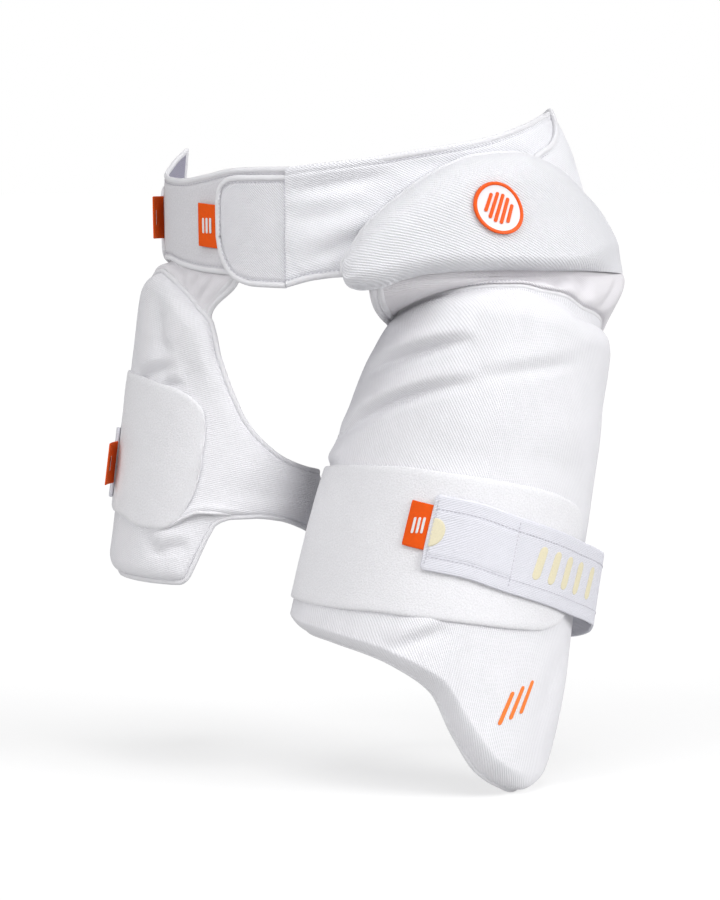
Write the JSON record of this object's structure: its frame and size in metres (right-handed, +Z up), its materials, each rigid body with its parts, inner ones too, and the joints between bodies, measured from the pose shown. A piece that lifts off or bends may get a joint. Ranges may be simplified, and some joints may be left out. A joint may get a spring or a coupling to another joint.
{
  "type": "cricket thigh guard",
  "caption": "Worn lower body guard: padded waist belt with hip pad, moulded thigh pad, smaller inner thigh pad and elastic straps.",
  "frame": {"origin": "middle of the waist belt's ring, half way up the belt", "axes": "+X to the wearer's left, -Y to the wearer's front, +Z up"},
  "size_m": [0.3829, 0.2738, 0.4861],
  "materials": {
    "mesh_fabric": "white ribbed mesh cloth over foam, matt",
    "side_fabric": "white stretch knit, matt",
    "belt_fabric": "white brushed cloth with a bound edge",
    "loop_fabric": "white brushed loop cloth, fuzzy",
    "elastic": "white ribbed elastic webbing",
    "woven_tag": "orange woven tape",
    "badge_rubber": "moulded soft rubber, satin"
  },
  "bodies": {
    "root": {"hip_panel": "loop_fabric", "front_belt_tab": "belt_fabric", "front_belt": "mesh_fabric", "rear_belt": "mesh_fabric", "rear_belt_tab": "belt_fabric", "hip_pad": "mesh_fabric", "hip_badge": "badge_rubber", "hip_skirt": "side_fabric", "gusset": "side_fabric", "thigh_pad": "mesh_fabric", "thigh_loop_panel": "loop_fabric", "thigh_strap": "elastic", "inner_pad": "mesh_fabric", "inner_wing": "mesh_fabric", "inner_loop_panel": "loop_fabric", "inner_strap": "elastic", "front_belt_tag": "woven_tag", "rear_belt_tag": "woven_tag", "thigh_strap_tag": "woven_tag", "inner_strap_tag": "woven_tag"}
  },
  "joints": []
}
